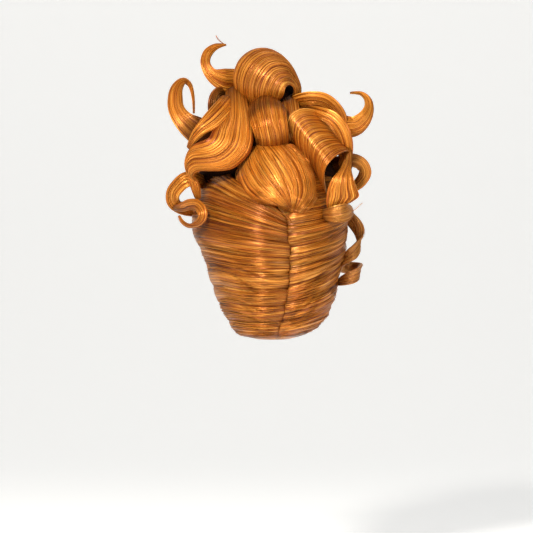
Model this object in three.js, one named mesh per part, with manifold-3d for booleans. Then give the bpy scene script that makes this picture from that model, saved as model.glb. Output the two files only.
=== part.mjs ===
// A copper updo wig: a net cap, two swept side rolls that meet in a vertical seam at the back,
// a smooth crown roll above them, and a pile of large ribbon curls over a black height pad.
// Millimetres. +X is the wearer's right, +Y is the way the wearer faces, +Z is up.
// The origin is the inside top of the cap, where the crown of the head bears.
import * as THREE from "three";
import { mergeVertices } from "three/addons/utils/BufferGeometryUtils.js";
import Module from "manifold-3d";

const wasm = await Module();
wasm.setup();

// Cap
const head_half_width = 74;
const head_half_depth = 97;
const dome_height = 80;
const nape_drop = 180;
const cap_wall = 2;
const cap_azimuths = 22;

// Reach of the hair from the origin, which the tables take their shares of
const side_reach = 120;
const depth_reach = 120;
const pile_height = 180;

// Hair
const clearance = 0.3;
const shortest_edge = 0.03;
const ribbon_width = 36;
const ribbon_thickness = 4;
const pleat_height = 5;
const seam_valley = 11;
const front_hair_thickness = 9;
const hair_root_depth = 15;

const copper = { color: 0xcc7326, roughness: 0.42, metalness: 0 };
const black_net = { color: 0x120d0b, roughness: 0.85, metalness: 0 };

// A table is a list of rows. Between its rows every column runs on a smooth curve.
const row_at = (rows, share) => {
  const last = rows.length - 1;
  const place = Math.min(Math.max(share, 0), 1) * last;
  const from = Math.min(Math.floor(place), last - 1);
  const t = place - from;
  const before = rows[Math.max(from - 1, 0)];
  const after = rows[Math.min(from + 2, last)];
  return rows[from].map((value, column) => {
    const next = rows[from + 1][column];
    const slope_in = (next - before[column]) / 2;
    const slope_out = (after[column] - value) / 2;
    const bend_in = t * t * t - 2 * t * t + t;
    const bend_out = t * t * t - t * t;
    const step = 3 * t * t - 2 * t * t * t;
    return value * (1 - step) + next * step + slope_in * bend_in + slope_out * bend_out;
  });
};

// The value of each column where the table's first column reaches the given height
const row_at_height = (rows, height) => {
  const after = rows.findIndex((row) => row[0] >= height);
  if (after <= 0) return rows[after < 0 ? rows.length - 1 : 0];
  const [low, high] = [rows[after - 1], rows[after]];
  const t = (height - low[0]) / (high[0] - low[0]);
  return low.map((value, column) => value + (high[column] - value) * t);
};

const mean = (points) =>
  points.reduce((sum, point) => sum.add(point), new THREE.Vector3()).divideScalar(points.length);

// A closed body through rings of points, each end closed round its middle
const loft = (rings, middle = mean) => {
  const sides = rings[0].length;
  const points = rings.flat();
  const first = points.push(middle(rings[0])) - 1;
  const last = points.push(middle(rings[rings.length - 1])) - 1;
  const faces = [];
  for (let ring = 0; ring < rings.length - 1; ring++) {
    for (let side = 0; side < sides; side++) {
      const a = ring * sides + side;
      const b = ring * sides + ((side + 1) % sides);
      faces.push([a, b, b + sides], [a, b + sides, a + sides]);
    }
  }
  const end = (rings.length - 1) * sides;
  for (let side = 0; side < sides; side++) {
    const next = (side + 1) % sides;
    faces.push([first, next, side], [last, end + side, end + next]);
  }
  const volume = faces.reduce((sum, [a, b, c]) =>
    sum + points[a].dot(new THREE.Vector3().crossVectors(points[b], points[c])), 0);
  if (volume < 0) faces.forEach((face) => face.reverse());
  const geometry = new THREE.BufferGeometry();
  const coordinates = points.flatMap((point) => point.toArray());
  geometry.setAttribute("position", new THREE.Float32BufferAttribute(coordinates, 3));
  geometry.setIndex(faces.flat());
  return geometry;
};

// A bowed ribbon's end is closed round the middle of its thickness
const ribbon_middle = (ring) => mean([ring[ring.length / 4], ring[(3 * ring.length) / 4]]);

// A body joined from short lengths, so that it may wind close past itself
const chain = (rings, middle) =>
  rings.slice(1).map((ring, step) => to_solid(loft([rings[step], ring], middle)))
    .reduce((body, length) => body.add(length));

const to_solid = (geometry) => {
  const merged = mergeVertices(geometry, 1e-4);
  const mesh = new wasm.Mesh({
    numProp: 3,
    vertProperties: new Float32Array(merged.attributes.position.array),
    triVerts: new Uint32Array(merged.index.array),
    tolerance: shortest_edge,
  });
  return new wasm.Manifold(mesh);
};

// What is left of a solid outside its neighbours, as one body
const trimmed = (solid, neighbours) => {
  const left = neighbours.reduce((body, neighbour) => body.subtract(neighbour), solid);
  const bodies = left.decompose();
  return bodies.reduce((best, body) => (body.volume() > best.volume() ? body : best));
};

// Head section at a place on the meridian: 0 at the crown, 1 at the widest, 2 at the nape
const neck_table = [
  // place, side and depth as shares of the head's half width and half depth
  [1.0, 1.0, 1.0],
  [1.3, 0.92, 0.95],
  [1.6, 0.76, 0.82],
  [1.85, 0.6, 0.68],
  [2.2, 0.48, 0.6],
];

const head_section = (place, grow) => {
  const angle = (Math.min(place, 1) * Math.PI) / 2;
  const [, side, depth] = row_at_height(neck_table, Math.max(place, 1));
  const below = Math.max(place - 1, 0) * (nape_drop - dome_height);
  return {
    side: (head_half_width + grow) * Math.sin(angle) * (place > 1 ? side : 1),
    depth: (head_half_depth + grow) * Math.sin(angle) * (place > 1 ? depth : 1),
    height: -dome_height + (dome_height + grow) * Math.cos(angle) - below,
  };
};

const place_of_height = (height) =>
  height > -dome_height
    ? Math.acos(1 + height / dome_height) / (Math.PI / 2)
    : 1 + (-height - dome_height) / (nape_drop - dome_height);

// The cap's hem drops from the hairline over the ears to the nape: azimuth share from the
// face to the nape, and height as a share of the nape drop
const hem_table = [
  [0.0, -0.3],
  [0.3, -0.33],
  [0.42, -0.45],
  [0.5, -0.6],
  [0.6, -0.68],
  [0.75, -0.85],
  [1.0, -0.94],
];

const hem_height = (azimuth) => {
  const from_face = Math.abs(((azimuth + Math.PI) % (2 * Math.PI)) - Math.PI) / Math.PI;
  return row_at_height(hem_table, from_face)[1] * nape_drop;
};

const around_head = (azimuth, place, grow) => {
  const { side, depth, height } = head_section(place, grow);
  return new THREE.Vector3(side * Math.sin(azimuth), depth * Math.cos(azimuth), height);
};

const ring_of = (count, point) => Array.from({ length: count }, (_, step) => point(step));

// The whole head with the cap on it, grown by a clearance, which all hair is cut clear of
const head_form = (grow) => {
  const places = [0.07, 0.25, 0.45, 0.65, 0.85, 1.0, 1.15, 1.3, 1.45, 1.6, 1.85, 2.2];
  return loft(places.map((place) => ring_of(cap_azimuths, (step) =>
    around_head((step / cap_azimuths) * 2 * Math.PI, place, cap_wall + grow))));
};

// Everything above the cap's hem
const above_hem = () => {
  const outside = 2 * head_half_depth;
  const ring = (radius, height) => ring_of(cap_azimuths, (step) => {
    const azimuth = (step / cap_azimuths) * 2 * Math.PI;
    return new THREE.Vector3(
      radius * Math.sin(azimuth), radius * Math.cos(azimuth), height ?? hem_height(azimuth));
  });
  return loft([ring(outside, dome_height), ring(outside), ring(outside / 10)]);
};

const wig_cap = () =>
  to_solid(head_form(0)).subtract(to_solid(head_form(-cap_wall))).intersect(to_solid(above_hem()));

// Outline of the swept hair, from the nape up: height as a share of the nape drop, half
// widths to the left and right and depth behind as shares of the reaches, the azimuth in
// degrees where each roll starts forward of the side, and the seam's place to the right
const roll_table = [
  [-1.01, 0.16, 0.18, 0.56, -14, 0.03],
  [-0.985, 0.34, 0.33, 0.63, -10, 0.045],
  [-0.94, 0.4, 0.45, 0.7, -6, 0.07],
  [-0.86, 0.465, 0.55, 0.79, -3, 0.1],
  [-0.76, 0.54, 0.61, 0.88, 0, 0.14],
  [-0.66, 0.585, 0.635, 0.95, 4, 0.16],
  [-0.56, 0.625, 0.66, 1.0, 10, 0.17],
  [-0.46, 0.67, 0.7, 1.03, 18, 0.17],
  [-0.36, 0.735, 0.72, 1.06, 28, 0.16],
  [-0.26, 0.79, 0.735, 1.05, 34, 0.145],
  [-0.14, 0.77, 0.74, 0.98, 36, 0.145],
  [0.0, 0.72, 0.7, 0.86, 36, 0.15],
  [0.06, 0.66, 0.64, 0.74, 36, 0.15],
  [0.11, 0.52, 0.52, 0.56, 36, 0.15],
];

// Pleats of the rolls, bottom to top: lower and upper edge as shares of the roll's height,
// and how far it swells as a share of the pleat height
const pleat_table = [
  [0.0, 0.11, 0.7],
  [0.11, 0.215, 1.0],
  [0.215, 0.315, 0.8],
  [0.315, 0.43, 1.0],
  [0.43, 0.54, 0.8],
  [0.54, 0.665, 1.0],
  [0.665, 0.9, 0.6],
  [0.9, 1.0, 0.2],
];
const pleat_steps = [0, 0.35, 0.75];

// How far the rolls' front edges are tucked in under the front hair, and over what share
const front_tuck = { depth: 0.12, reach: 0.16 };

const swell_of = ([, , swell], share) => swell * pleat_height * Math.sin(Math.PI * share) ** 0.6;

// Everything on one side of the seam, which the left roll reaches and the right roll clears
const beside_seam = (side, gap) => {
  const outside = 2 * head_half_depth;
  const seam = roll_table.map(([height, , , , , place]) =>
    [place * side_reach + side * gap, height * nape_drop]);
  const top = [seam[seam.length - 1][0], outside];
  const low = [seam[0][0], -2 * outside];
  const outline = [low, ...seam, top, [side * outside, outside], [side * outside, -2 * outside]];
  const ring = (depth) => outline.map(([across, height]) => new THREE.Vector3(across, depth, height));
  return to_solid(loft([ring(-outside), ring(outside)]));
};

const roll = (side, grow) => {
  const columns = 11;
  const past_seam = 0.15;
  const low = roll_table[0][0];
  const high = roll_table[roll_table.length - 1][0];
  const levels = pleat_table.flatMap((pleat) => pleat_steps.map((share) => ({
    level: pleat[0] + (pleat[1] - pleat[0]) * share,
    swell: swell_of(pleat, share),
  })));
  levels.push({ level: 1, swell: 0 });
  const outer = (column, { level, swell }) => {
    const across = 1 - (1 - column / columns) ** 1.4;
    const rise = side < 0 ? 0.035 * Math.cos(across * Math.PI * 2) : 0.07 * (1 - across) ** 2;
    const share = low + (high - low) * (level + rise * Math.sin(Math.PI * level));
    const [height, left, right, back, start, seam] = row_at_height(roll_table, share);
    const width = (side < 0 ? left : right) * side_reach + swell * 0.5;
    const depth = back * depth_reach;
    const seam_angle = Math.PI / 2 - Math.asin((side * seam * side_reach) / width);
    const start_angle = (-start * Math.PI) / 180 - grow / width;
    const angle = start_angle + (seam_angle + past_seam - start_angle) * across;
    const to_seam = Math.max(seam_angle - angle, 0) * width;
    const valley = seam_valley * Math.max(1 - to_seam / (1.6 * seam_valley), 0) ** 2;
    const behind = Math.sin(angle) > 0 ? depth + swell - valley : head_half_depth + swell;
    const tuck = 1 - front_tuck.depth * Math.max(1 - across / front_tuck.reach, 0) ** 2;
    return new THREE.Vector3(
      side * (width * tuck + grow) * Math.cos(angle),
      -(behind * tuck + grow) * Math.sin(angle),
      height * nape_drop + (level === 0 ? -grow : 0) + (level === 1 ? grow : 0),
    );
  };
  const rings = ring_of(columns + 1, (column) => {
    const wall = levels.map((level) => outer(column, level));
    const inside = (point, drop) => new THREE.Vector3(0.3 * point.x, 0.3 * point.y, point.z - drop);
    const high = inside(wall[wall.length - 1], 0.3 * dome_height);
    return [...wall, high, inside(wall[Math.floor(wall.length / 2)], 0), inside(wall[0], 0)];
  });
  const gap = (side < 0 ? 0 : clearance) - grow;
  return to_solid(loft(rings)).intersect(beside_seam(side, gap));
};

// Hair combed up from the hairline over the forehead and temples to the pile: place on the
// meridian as a share of the way down to the hem, and thickness as a share
const sweep_table = [
  [0.0, 3.2],
  [0.2, 2.4],
  [0.45, 1.4],
  [0.7, 0.6],
  [0.9, 0.4],
  [1.03, 0.3],
];

const front_sweep = (grow) => {
  const columns = 12;
  const half_angle = (128 * Math.PI) / 180 + grow / head_half_width;
  const rings = ring_of(columns + 1, (column) => {
    const azimuth = ((2 * column) / columns - 1) * half_angle;
    const ridge = 0.12 * Math.cos(column * Math.PI);
    const wall = sweep_table.map(([down, thick]) => {
      const hem = place_of_height(hem_height(azimuth)) + grow / dome_height;
      const place = Math.max(down * hem, 0.03);
      const thickness = front_hair_thickness * (thick + ridge) + grow;
      return around_head(azimuth, place, cap_wall + thickness);
    });
    const hem = sweep_table[sweep_table.length - 1][0] * place_of_height(hem_height(azimuth));
    const low = around_head(azimuth, hem, -hair_root_depth);
    const high = around_head(azimuth, 0.03, -hair_root_depth);
    return [...wall, low, high];
  });
  return to_solid(loft(rings));
};

const outline_area = (outline) => outline.reduce((sum, point, index) =>
  sum + point.cross(outline[(index + 1) % outline.length]), 0);

// Half the section of a ribbon across and through it, as shares: a lens with rounded edges
const ribbon_section = [
  [-1, 0], [-0.62, 0.9], [0, 1], [0.62, 0.9], [1, 0], [0.62, -0.9], [0, -1], [-0.62, -0.9],
];

// An outline moved outwards all round
const grown_outline = (outline, grow) => outline.map((point, index) => {
  const before = outline[(index + outline.length - 1) % outline.length];
  const after = outline[(index + 1) % outline.length];
  const into = point.clone().sub(before).normalize();
  const away = after.clone().sub(point).normalize();
  const side = new THREE.Vector2(into.y + away.y, -into.x - away.x);
  const outwards = side.multiplyScalar(Math.sign(outline_area(outline))).normalize();
  const miter = Math.max(Math.abs(outwards.x * into.y - outwards.y * into.x), 0.4);
  return point.clone().addScaledVector(outwards, grow / miter);
});

const in_reach = (side, rise, depth) =>
  new THREE.Vector3(side * side_reach, depth * depth_reach, rise * pile_height);

// A lock of hair follows a table. Its rows hold side, rise and depth as shares of the
// reaches, then the width across as seen from behind and the width in depth as shares of the
// ribbon width. A lock with an axis is wound round it and keeps its width along it. A wide
// lock has edges instead: side, rise and depth of its one edge, then of its other edge.
const lock = ({ rows, edges, axis, bow = 0.12, steps = 2.5 }, grow) => {
  const table = rows ?? edges;
  const stations = Math.round((table.length - 1) * steps) + 1;
  const centre = (share) => {
    const row = row_at(table, share);
    const near = in_reach(...row.slice(0, 3));
    return rows ? near : near.lerp(in_reach(...row.slice(3)), 0.5);
  };
  let across = new THREE.Vector3();
  let outward = 0;
  const width_at = (share, along) => {
    const [, , , wide, deep] = row_at(table, share);
    if (edges) {
      const row = row_at(table, share);
      return in_reach(...row.slice(3)).sub(in_reach(...row.slice(0, 3)));
    }
    if (axis) {
      const wound = new THREE.Vector3(...axis).projectOnPlane(along).normalize();
      return wound.multiplyScalar(wide * ribbon_width);
    }
    const turned = new THREE.Vector3(along.z, 0, -along.x);
    if (turned.dot(across) < 0) turned.negate();
    across = turned.addScaledVector(across, 0.25).normalize();
    const width = across.clone().multiplyScalar(wide).add(new THREE.Vector3(0, deep, 0));
    return width.projectOnPlane(along).multiplyScalar(ribbon_width);
  };
  const rings = ring_of(stations, (station) => {
    const share = station / (stations - 1);
    const ahead = centre(share + 0.02).sub(centre(share)).normalize();
    const behind = centre(share).sub(centre(share - 0.02)).normalize();
    const along = ahead.clone().add(behind).normalize();
    const width = width_at(share, along);
    const half = Math.max(width.length() / 2, 0.6);
    width.normalize();
    const path = centre(share + 0.01).distanceTo(centre(share - 0.01));
    const bend = edges ? 0 : ahead.sub(behind).dot(width) / path;
    const edge = (s) => (s * half) / Math.max(1, 1.2 * half * bend * Math.sign(s));
    const normal = new THREE.Vector3().crossVectors(width, along).normalize();
    outward = outward || (normal.y > 0 ? -1 : 1);
    const taper = Math.min(1, 0.35 + half / 9);
    const thick = (ribbon_thickness * taper) / 2;
    const end = station === 0 ? -grow : station === stations - 1 ? grow : 0;
    const middle = centre(share).addScaledVector(along, end);
    const section = ribbon_section.map(([s, level]) =>
      new THREE.Vector2(edge(s), (1 - s * s) * bow * 2 * half * outward + level * thick));
    return grown_outline(section, grow).map(({ x, y }) =>
      middle.clone().addScaledVector(width, x).addScaledVector(normal, y));
  });
  return grow > 0 ? chain(rings, ribbon_middle) : to_solid(loft(rings, ribbon_middle));
};

// Crown roll, top down: height as a share of the pile's, then how far it reaches to the left,
// to the right and back as shares of the reaches
const crown_table = [
  [0.295, -0.08, 0.16, 0.6],
  [0.27, -0.2, 0.26, 0.74],
  [0.22, -0.28, 0.33, 0.86],
  [0.15, -0.34, 0.4, 0.97],
  [0.06, -0.385, 0.44, 1.07],
  [-0.02, -0.38, 0.485, 1.12],
  [-0.09, -0.33, 0.505, 1.14],
  [-0.15, -0.22, 0.48, 1.11],
  [-0.2, -0.02, 0.38, 1.05],
  [-0.24, 0.12, 0.24, 0.98],
];

const crown_roll = (grow) => {
  const sides = 18;
  const root = -0.35 * depth_reach;
  const last = crown_table.length - 1;
  return to_solid(loft(crown_table.map(([height, left, right, back], row) => ring_of(sides, (step) => {
    const angle = (step / sides) * 2 * Math.PI;
    const middle = ((left + right) / 2) * side_reach;
    const half = ((right - left) / 2) * side_reach + grow;
    const deep = -back * depth_reach - root - grow;
    const end = row === 0 ? grow : row === last ? -grow : 0;
    return new THREE.Vector3(
      middle + half * Math.cos(angle),
      root + deep * Math.max(Math.sin(angle), -0.2),
      height * pile_height + end,
    );
  }))));
};

// Rows: side, rise, depth, width across, width in depth
const lock_tables = {
  left_s_curl: {
    bow: 0.14, steps: 2, edges: [
      [-0.46, 0.633, -0.28, -0.26, 0.633, -0.28],
      [-0.48, 0.527, -0.52, -0.23, 0.527, -0.48],
      [-0.51, 0.433, -0.7, -0.2, 0.433, -0.6],
      [-0.58, 0.347, -0.82, -0.18, 0.325, -0.7],
      [-0.61, 0.307, -0.87, -0.22, 0.205, -0.76],
      [-0.66, 0.287, -0.87, -0.38, 0.105, -0.78],
      [-0.72, 0.273, -0.83, -0.57, 0.088, -0.76],
      [-0.78, 0.253, -0.76, -0.7, 0.09, -0.72],
      [-0.83, 0.21, -0.7, -0.76, 0.07, -0.68],
      [-0.85, 0.14, -0.64, -0.755, 0.045, -0.64],
      [-0.82, 0.06, -0.6, -0.72, 0.02, -0.61],
      [-0.8, -0.01, -0.56, -0.7, -0.03, -0.58],
      [-0.76, -0.08, -0.52, -0.7, -0.085, -0.54],
    ],
  },
  left_over_ribbon: {
    rows: [
      [-0.42, 0.567, -0.42, 0.6, 0.2],
      [-0.49, 0.493, -0.64, 0.66, 0.2],
      [-0.585, 0.42, -0.77, 0.62, 0.2],
      [-0.685, 0.362, -0.81, 0.42, 0.2],
      [-0.765, 0.3, -0.79, 0.24, 0.15],
      [-0.815, 0.245, -0.7, 0.14, 0.1],
    ],
  },
  right_barrel: {
    bow: 0.08, steps: 2, edges: [
      [0.26, 0.233, -0.42, 0.56, -0.12, -0.5],
      [0.18, 0.3, -0.54, 0.53, -0.053, -0.68],
      [0.15, 0.38, -0.64, 0.505, 0.027, -0.84],
      [0.17, 0.453, -0.68, 0.52, 0.107, -0.93],
      [0.26, 0.5, -0.65, 0.59, 0.167, -0.92],
      [0.39, 0.5, -0.57, 0.67, 0.203, -0.84],
      [0.53, 0.447, -0.46, 0.74, 0.22, -0.7],
      [0.62, 0.373, -0.36, 0.77, 0.193, -0.54],
      [0.64, 0.293, -0.28, 0.73, 0.14, -0.4],
    ],
  },
  right_barrel_tail: {
    steps: 2, edges: [
      [0.67, 0.233, -0.6, 0.78, 0.26, -0.54],
      [0.69, 0.187, -0.7, 0.785, 0.207, -0.62],
      [0.69, 0.14, -0.76, 0.77, 0.147, -0.68],
      [0.65, 0.093, -0.82, 0.77, 0.093, -0.74],
      [0.59, 0.047, -0.86, 0.79, 0.04, -0.78],
      [0.55, -0.007, -0.86, 0.82, -0.02, -0.78],
      [0.53, -0.067, -0.84, 0.845, -0.073, -0.74],
      [0.53, -0.133, -0.8, 0.74, -0.12, -0.74],
      [0.56, -0.187, -0.74, 0.63, -0.16, -0.72],
    ],
  },
  right_over_ribbon: {
    rows: [
      [0.34, 0.5, -0.3, 0.35, 0.2],
      [0.46, 0.473, -0.55, 0.4, 0.3],
      [0.58, 0.44, -0.62, 0.45, 0.4],
      [0.67, 0.373, -0.64, 0.47, 0.4],
      [0.72, 0.287, -0.6, 0.43, 0.4],
      [0.73, 0.2, -0.5, 0.37, 0.4],
      [0.69, 0.14, -0.36, 0.3, 0.3],
    ],
  },
  centre_loop: {
    bow: 0.28, rows: [
      [-0.055, 0.53, -0.2, 0.95, 0.1],
      [-0.055, 0.525, -0.4, 1.12, 0.1],
      [-0.055, 0.5, -0.58, 1.22, 0.1],
      [-0.04, 0.45, -0.7, 1.22, 0.1],
      [-0.02, 0.385, -0.765, 1.16, 0.1],
      [0.0, 0.315, -0.73, 1.1, 0.1],
      [0.0, 0.26, -0.58, 1.05, 0.1],
    ],
  },
  centre_fall: {
    rows: [
      [0.13, 0.58, -0.24, 0.8, 0.1],
      [0.15, 0.51, -0.44, 0.8, 0.1],
      [0.17, 0.42, -0.56, 0.7, 0.1],
      [0.2, 0.34, -0.6, 0.6, 0.1],
      [0.22, 0.26, -0.52, 0.5, 0.1],
    ],
  },
  top_curl: {
    bow: 0.2, edges: [
      [0.07, 0.56, -0.3, -0.34, 0.56, -0.2],
      [0.09, 0.573, -0.44, -0.37, 0.633, -0.3],
      [0.11, 0.59, -0.5, -0.385, 0.733, -0.34],
      [0.12, 0.607, -0.53, -0.32, 0.84, -0.34],
      [0.125, 0.627, -0.54, -0.18, 0.907, -0.3],
      [0.135, 0.643, -0.53, -0.02, 0.903, -0.28],
      [0.155, 0.657, -0.5, 0.11, 0.833, -0.26],
      [0.185, 0.66, -0.46, 0.205, 0.733, -0.26],
      [0.215, 0.64, -0.42, 0.255, 0.647, -0.26],
      [0.21, 0.607, -0.36, 0.245, 0.587, -0.24],
      [0.16, 0.59, -0.28, 0.18, 0.557, -0.2],
    ],
  },
  left_flick: {
    steps: 2, rows: [
      [-0.26, 0.65, 0.0, 0.6, 0.25],
      [-0.36, 0.7, -0.1, 0.8, 0.3],
      [-0.49, 0.707, -0.18, 0.76, 0.35],
      [-0.61, 0.747, -0.2, 0.42, 0.35],
      [-0.665, 0.82, -0.18, 0.3, 0.3],
      [-0.64, 0.887, -0.13, 0.3, 0.2],
      [-0.56, 0.933, -0.08, 0.2, 0.12],
      [-0.46, 0.948, -0.04, 0.05, 0.03],
    ],
  },
  left_hook: {
    steps: 2, rows: [
      [-0.42, 0.26, -0.22, 0.45, 0.3],
      [-0.56, 0.3, -0.32, 0.7, 0.4],
      [-0.72, 0.355, -0.42, 0.93, 0.45],
      [-0.865, 0.427, -0.44, 0.68, 0.5],
      [-0.945, 0.513, -0.38, 0.52, 0.5],
      [-0.955, 0.6, -0.28, 0.46, 0.45],
      [-0.93, 0.667, -0.18, 0.33, 0.35],
      [-0.875, 0.703, -0.1, 0.18, 0.25],
      [-0.815, 0.675, -0.05, 0.09, 0.12],
      [-0.785, 0.59, -0.03, 0.06, 0.05],
      [-0.78, 0.49, -0.03, 0.04, 0.03],
    ],
  },
  left_back_curl: {
    rows: [
      [-0.48, 0.42, -0.16, 0.4, 0.6],
      [-0.56, 0.48, -0.24, 0.4, 0.6],
      [-0.575, 0.55, -0.27, 0.36, 0.6],
      [-0.54, 0.61, -0.22, 0.34, 0.6],
      [-0.46, 0.62, -0.14, 0.34, 0.55],
      [-0.36, 0.57, -0.08, 0.35, 0.5],
    ],
  },
  left_ringlet_outer: {
    rows: [
      [-0.66, 0.02, -0.24, 0.4, 0.3],
      [-0.76, 0.045, -0.36, 0.5, 0.35],
      [-0.85, 0.04, -0.4, 0.52, 0.4],
      [-0.92, 0.005, -0.38, 0.5, 0.4],
      [-0.975, -0.045, -0.32, 0.48, 0.4],
      [-0.975, -0.1, -0.24, 0.46, 0.4],
      [-0.92, -0.135, -0.16, 0.42, 0.35],
      [-0.84, -0.155, -0.08, 0.38, 0.3],
      [-0.76, -0.165, 0, 0.33, 0.3],
    ],
  },
  left_ringlet_inner: {
    steps: 2.5, rows: [
      [-0.96, -0.14, -0.2, 0.22, 0.4],
      [-0.885, -0.14, -0.36, 0.3, 0.4],
      [-0.81, -0.125, -0.5, 0.36, 0.4],
      [-0.735, -0.13, -0.62, 0.36, 0.4],
      [-0.685, -0.165, -0.7, 0.33, 0.35],
      [-0.68, -0.21, -0.72, 0.28, 0.3],
      [-0.725, -0.248, -0.66, 0.2, 0.25],
      [-0.81, -0.265, -0.56, 0.1, 0.2],
      [-0.88, -0.24, -0.48, 0.07, 0.15],
      [-0.92, -0.2, -0.44, 0.04, 0.1],
    ],
  },
  right_upper_curl: {
    rows: [
      [0.12, 0.52, -0.12, 0.45, 0.3],
      [0.23, 0.55, -0.28, 0.5, 0.4],
      [0.36, 0.567, -0.38, 0.52, 0.45],
      [0.5, 0.56, -0.4, 0.52, 0.45],
      [0.61, 0.51, -0.38, 0.48, 0.4],
      [0.68, 0.44, -0.32, 0.4, 0.35],
      [0.66, 0.36, -0.22, 0.33, 0.3],
    ],
  },
  right_hook: {
    steps: 2, rows: [
      [0.52, 0.42, -0.12, 0.5, 0.3],
      [0.64, 0.41, -0.2, 0.6, 0.4],
      [0.75, 0.395, -0.27, 0.7, 0.45],
      [0.84, 0.405, -0.3, 0.62, 0.45],
      [0.92, 0.455, -0.29, 0.46, 0.4],
      [0.96, 0.52, -0.25, 0.3, 0.3],
      [0.945, 0.58, -0.2, 0.2, 0.2],
      [0.88, 0.618, -0.15, 0.1, 0.1],
      [0.78, 0.622, -0.1, 0.04, 0.04],
    ],
  },
  right_small_loop: {
    rows: [
      [0.58, 0.1, -0.16, 0.7, 0.3],
      [0.68, 0.14, -0.3, 0.65, 0.35],
      [0.79, 0.17, -0.35, 0.45, 0.4],
      [0.885, 0.145, -0.34, 0.4, 0.4],
      [0.92, 0.09, -0.32, 0.4, 0.4],
      [0.88, 0.035, -0.26, 0.37, 0.4],
      [0.8, -0.01, -0.18, 0.3, 0.35],
      [0.7, -0.04, -0.1, 0.27, 0.3],
    ],
  },
  right_end_roll: {
    rows: [
      [0.5, -0.2, -0.72, 0.35, 0.2],
      [0.58, -0.197, -0.84, 0.5, 0.3],
      [0.65, -0.19, -0.86, 0.6, 0.35],
      [0.72, -0.18, -0.78, 0.58, 0.35],
      [0.765, -0.165, -0.66, 0.4, 0.3],
    ],
  },
  right_hanging_ringlet: {
    axis: [0.25, 0.1, 1], steps: 2, rows: [
      [0.64, -0.13, 0.04, 0.36, 0],
      [0.74, -0.18, 0.12, 0.42, 0],
      [0.85, -0.26, 0.08, 0.46, 0],
      [0.89, -0.34, -0.02, 0.46, 0],
      [0.85, -0.41, -0.1, 0.45, 0],
      [0.77, -0.46, -0.13, 0.42, 0],
      [0.69, -0.5, -0.06, 0.4, 0],
      [0.7, -0.53, 0.06, 0.4, 0],
      [0.8, -0.54, 0.12, 0.42, 0],
      [0.88, -0.55, 0.03, 0.45, 0],
      [0.86, -0.58, -0.1, 0.45, 0],
      [0.76, -0.61, -0.15, 0.42, 0],
      [0.67, -0.63, -0.08, 0.3, 0],
      [0.64, -0.64, 0.02, 0.12, 0],
    ],
  },
};

// Three plain barrel curls cover the front of the pad, side by side
const front_curl_places = { left: -0.36, middle: 0.0, right: 0.36 };
const front_curl = (place) => ({
  axis: [1, -0.6 * place, 0], bow: 0.1, steps: 3, rows: [
    [place, 0.42, 0.05, 1.15, 0],
    [place, 0.56, 0.2, 1.2, 0],
    [place, 0.56, 0.42, 1.2, 0],
    [place, 0.44, 0.56, 1.2, 0],
    [place, 0.31, 0.54, 1.15, 0],
    [place, 0.28, 0.4, 1.0, 0],
  ],
});
Object.entries(front_curl_places).forEach(([side, place]) => {
  lock_tables[`front_curl_${side}`] = front_curl(place);
});

// Black netted pad that lifts the pile, bottom up: height as a share of the pile's, then its
// half width and half depth as shares of the reaches
const pad_table = [
  [-0.1, 0.58, 0.38],
  [0.0, 0.68, 0.45],
  [0.09, 0.7, 0.49],
  [0.18, 0.66, 0.51],
  [0.3, 0.56, 0.5],
  [0.42, 0.46, 0.45],
  [0.53, 0.34, 0.33],
  [0.6, 0.29, 0.27],
  [0.67, 0.26, 0.21],
  [0.74, 0.2, 0.16],
];
const pad_middle = { side: -0.03, depth: -0.1 };

const height_pad = (grow) => {
  const sides = 14;
  return to_solid(loft(pad_table.map(([height, half_width, half_depth], row) => ring_of(sides, (step) => {
    const angle = (step / sides) * 2 * Math.PI;
    const end = row === 0 ? -grow : row === pad_table.length - 1 ? grow : 0;
    return new THREE.Vector3(
      pad_middle.side * side_reach + (half_width * side_reach + grow) * Math.cos(angle),
      pad_middle.depth * depth_reach + (half_depth * depth_reach + grow) * Math.sin(angle),
      height * pile_height + end,
    );
  }))));
};

// The combed-up hair goes on over the front half of the pad: how much it stands off the pad, as
// shares of the front hair's thickness
const pile_cover = { side: 0.28, depth: 1.0, top: 0.33 };

const pad_cover = (grow) => {
  const sides = 14;
  const middle = pad_middle.depth * depth_reach;
  const off = (share) => share * front_hair_thickness + grow;
  const rings = pad_table.map(([height, half_width, half_depth], row) => ring_of(sides, (step) => {
    const angle = (step / sides) * 2 * Math.PI;
    const end = row === 0 ? -grow : row === pad_table.length - 1 ? off(pile_cover.top) : 0;
    return new THREE.Vector3(
      pad_middle.side * side_reach + (half_width * side_reach + off(pile_cover.side)) * Math.cos(angle),
      middle + (half_depth * depth_reach + off(pile_cover.depth)) * Math.sin(angle),
      height * pile_height + end,
    );
  }));
  return to_solid(loft(rings)).trimByPlane([0, 1, 0], middle - grow);
};

const front_hair = (grow) => front_sweep(grow).add(pad_cover(grow));

const wig = new THREE.Group();
const add_piece = (name, geometry, finish) => {
  const mesh = new THREE.Mesh(geometry, new THREE.MeshStandardMaterial(finish));
  mesh.name = name;
  wig.add(mesh);
};

const from_solid = (solid) => {
  const { vertProperties, triVerts } = solid.getMesh();
  const geometry = new THREE.BufferGeometry();
  geometry.setAttribute("position", new THREE.BufferAttribute(vertProperties, 3));
  geometry.setIndex(new THREE.BufferAttribute(triVerts, 1));
  return geometry;
};

// Each piece is cut clear of those before it, so that neighbours seat on each other with
// the clearance between them.
const taken = [to_solid(head_form(clearance))];
const add_hair = (name, shape, finish = copper) => {
  add_piece(name, from_solid(trimmed(shape(0), taken)), finish);
  taken.push(shape(clearance));
};

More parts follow.
